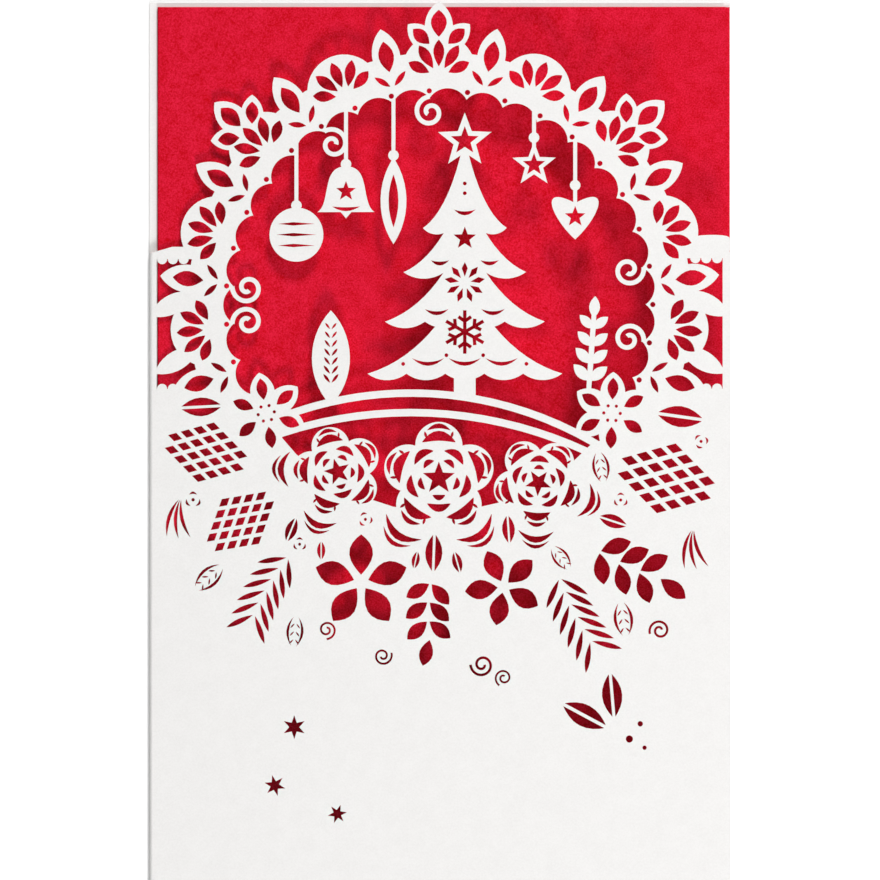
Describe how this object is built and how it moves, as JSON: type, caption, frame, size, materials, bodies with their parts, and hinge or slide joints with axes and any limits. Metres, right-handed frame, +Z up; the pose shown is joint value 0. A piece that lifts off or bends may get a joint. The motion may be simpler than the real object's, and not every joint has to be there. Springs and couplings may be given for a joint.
{
  "type": "laser-cut greeting card",
  "caption": "Folded greeting card: a white cover with a laser-cut front leaf and a round scalloped window, over a folded red insert.",
  "frame": {"origin": "middle of the card's outline, on the surface that its back leaf lies on", "axes": "+X from the fold to the free edge, +Y to the card's top edge, +Z up out of the front leaf"},
  "size_m": [0.12, 0.185, 0.0109],
  "materials": {
    "white_card": "pearlescent white card",
    "red_card": "pearlescent red paper",
    "clear_tape": "clear double-sided tape"
  },
  "bodies": {
    "root": {"cover": "white_card", "insert": "red_card", "adhesive_strip": "clear_tape"}
  },
  "joints": []
}
